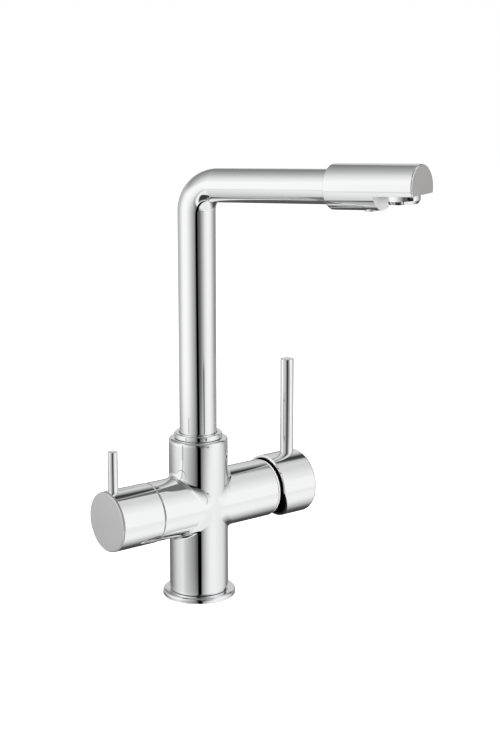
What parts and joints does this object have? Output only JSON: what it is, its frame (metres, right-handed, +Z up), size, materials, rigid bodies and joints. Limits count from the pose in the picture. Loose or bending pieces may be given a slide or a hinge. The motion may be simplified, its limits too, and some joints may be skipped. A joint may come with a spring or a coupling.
{
  "type": "three way filtered water tap",
  "caption": "Deck-mounted kitchen tap with an L-shaped swivel spout, a mixer lever on one arm and a filtered water knob on the other.",
  "frame": {"origin": "centre of the foot's underside, on the worktop and on the column's axis", "axes": "+Z up the column, +X out along the mixer arm, -Y towards the user and the sink; the spout points to -Y, swivelled 18.8 degrees towards +X at rest"},
  "size_m": [0.1799, 0.2076, 0.3391],
  "materials": {
    "chrome": "polished chrome plate on brass",
    "satin": "satin",
    "brass": "machined brass",
    "steel": "plain stainless steel",
    "rubber": "black rubber",
    "white_plastic": "white moulded plastic",
    "grey_plastic": "grey moulded plastic",
    "ceramic": "lapped white ceramic"
  },
  "bodies": {
    "tap_body": {"body_casting": "chrome", "base_ring": "chrome", "base_gasket": "rubber", "spout_collar": "chrome", "spout_bush_upper": "white_plastic", "spout_bush_lower": "white_plastic", "filtered_water_nipple": "brass", "cartridge_seal_mixed": "rubber", "cartridge_seal_hot": "rubber", "cartridge_seal_cold": "rubber", "cartridge_base": "white_plastic", "cartridge_fixed_disc": "ceramic", "cartridge_housing": "white_plastic", "cartridge_nut": "brass", "cartridge_cover": "chrome", "filter_seat_seal": "rubber", "filter_valve_body": "brass", "filter_valve_oring": "rubber", "filter_fixed_disc": "ceramic"},
    "spout": {"spout_shank": "brass", "spout_oring_upper": "rubber", "spout_oring_lower": "rubber", "spout_circlip": "steel", "spout_tube": "chrome", "filtered_water_tube": "white_plastic", "spout_head": "chrome", "filtered_outlet_nozzle": "chrome", "aerator_washer": "rubber", "aerator_housing": "chrome", "aerator_insert": "grey_plastic"},
    "lever_carrier": {"cartridge_carrier": "grey_plastic", "cartridge_pivot_pin": "steel"},
    "mixer_lever": {"cartridge_stem": "brass", "mixer_lever_cap": "chrome", "mixer_lever_pin": "chrome", "lever_grub_screw": "steel"},
    "mixing_disc": {"cartridge_moving_disc": "ceramic"},
    "filter_handle": {"filter_turning_disc": "ceramic", "filter_spindle": "brass", "filter_spindle_oring": "rubber", "filter_knob": "chrome", "knob_end_disc": "satin", "filter_knob_pin": "chrome", "knob_screw": "steel"}
  },
  "joints": [
    {"name": "spout_swivel", "type": "hinge", "parent": "tap_body", "child": "spout", "pos_m": [0, 0, 0.1], "axis": [0, 0, 1], "range_deg": [-180, 180]},
    {"name": "lever_turn", "type": "hinge", "parent": "tap_body", "child": "lever_carrier", "pos_m": [0.04745, 0, 0.0724], "axis": [1, 0, 0], "range_deg": [-50, 50]},
    {"name": "lever_lift", "type": "hinge", "parent": "lever_carrier", "child": "mixer_lever", "pos_m": [0.04745, 0, 0.0724], "axis": [0, 1, 0], "range_deg": [0, 22]},
    {"name": "disc_slide", "type": "slide", "parent": "lever_carrier", "child": "mixing_disc", "axis": [0, 0, 1], "range_m": [0, 0.0036]},
    {"name": "filter_turn", "type": "hinge", "parent": "tap_body", "child": "filter_handle", "pos_m": [-0.0464, 0, 0.0724], "axis": [1, 0, 0], "range_deg": [0, 90]}
  ],
  "couplings": [
    {"joint": "disc_slide", "follows": "lever_lift", "m_per_rad": 0.009024}
  ]
}
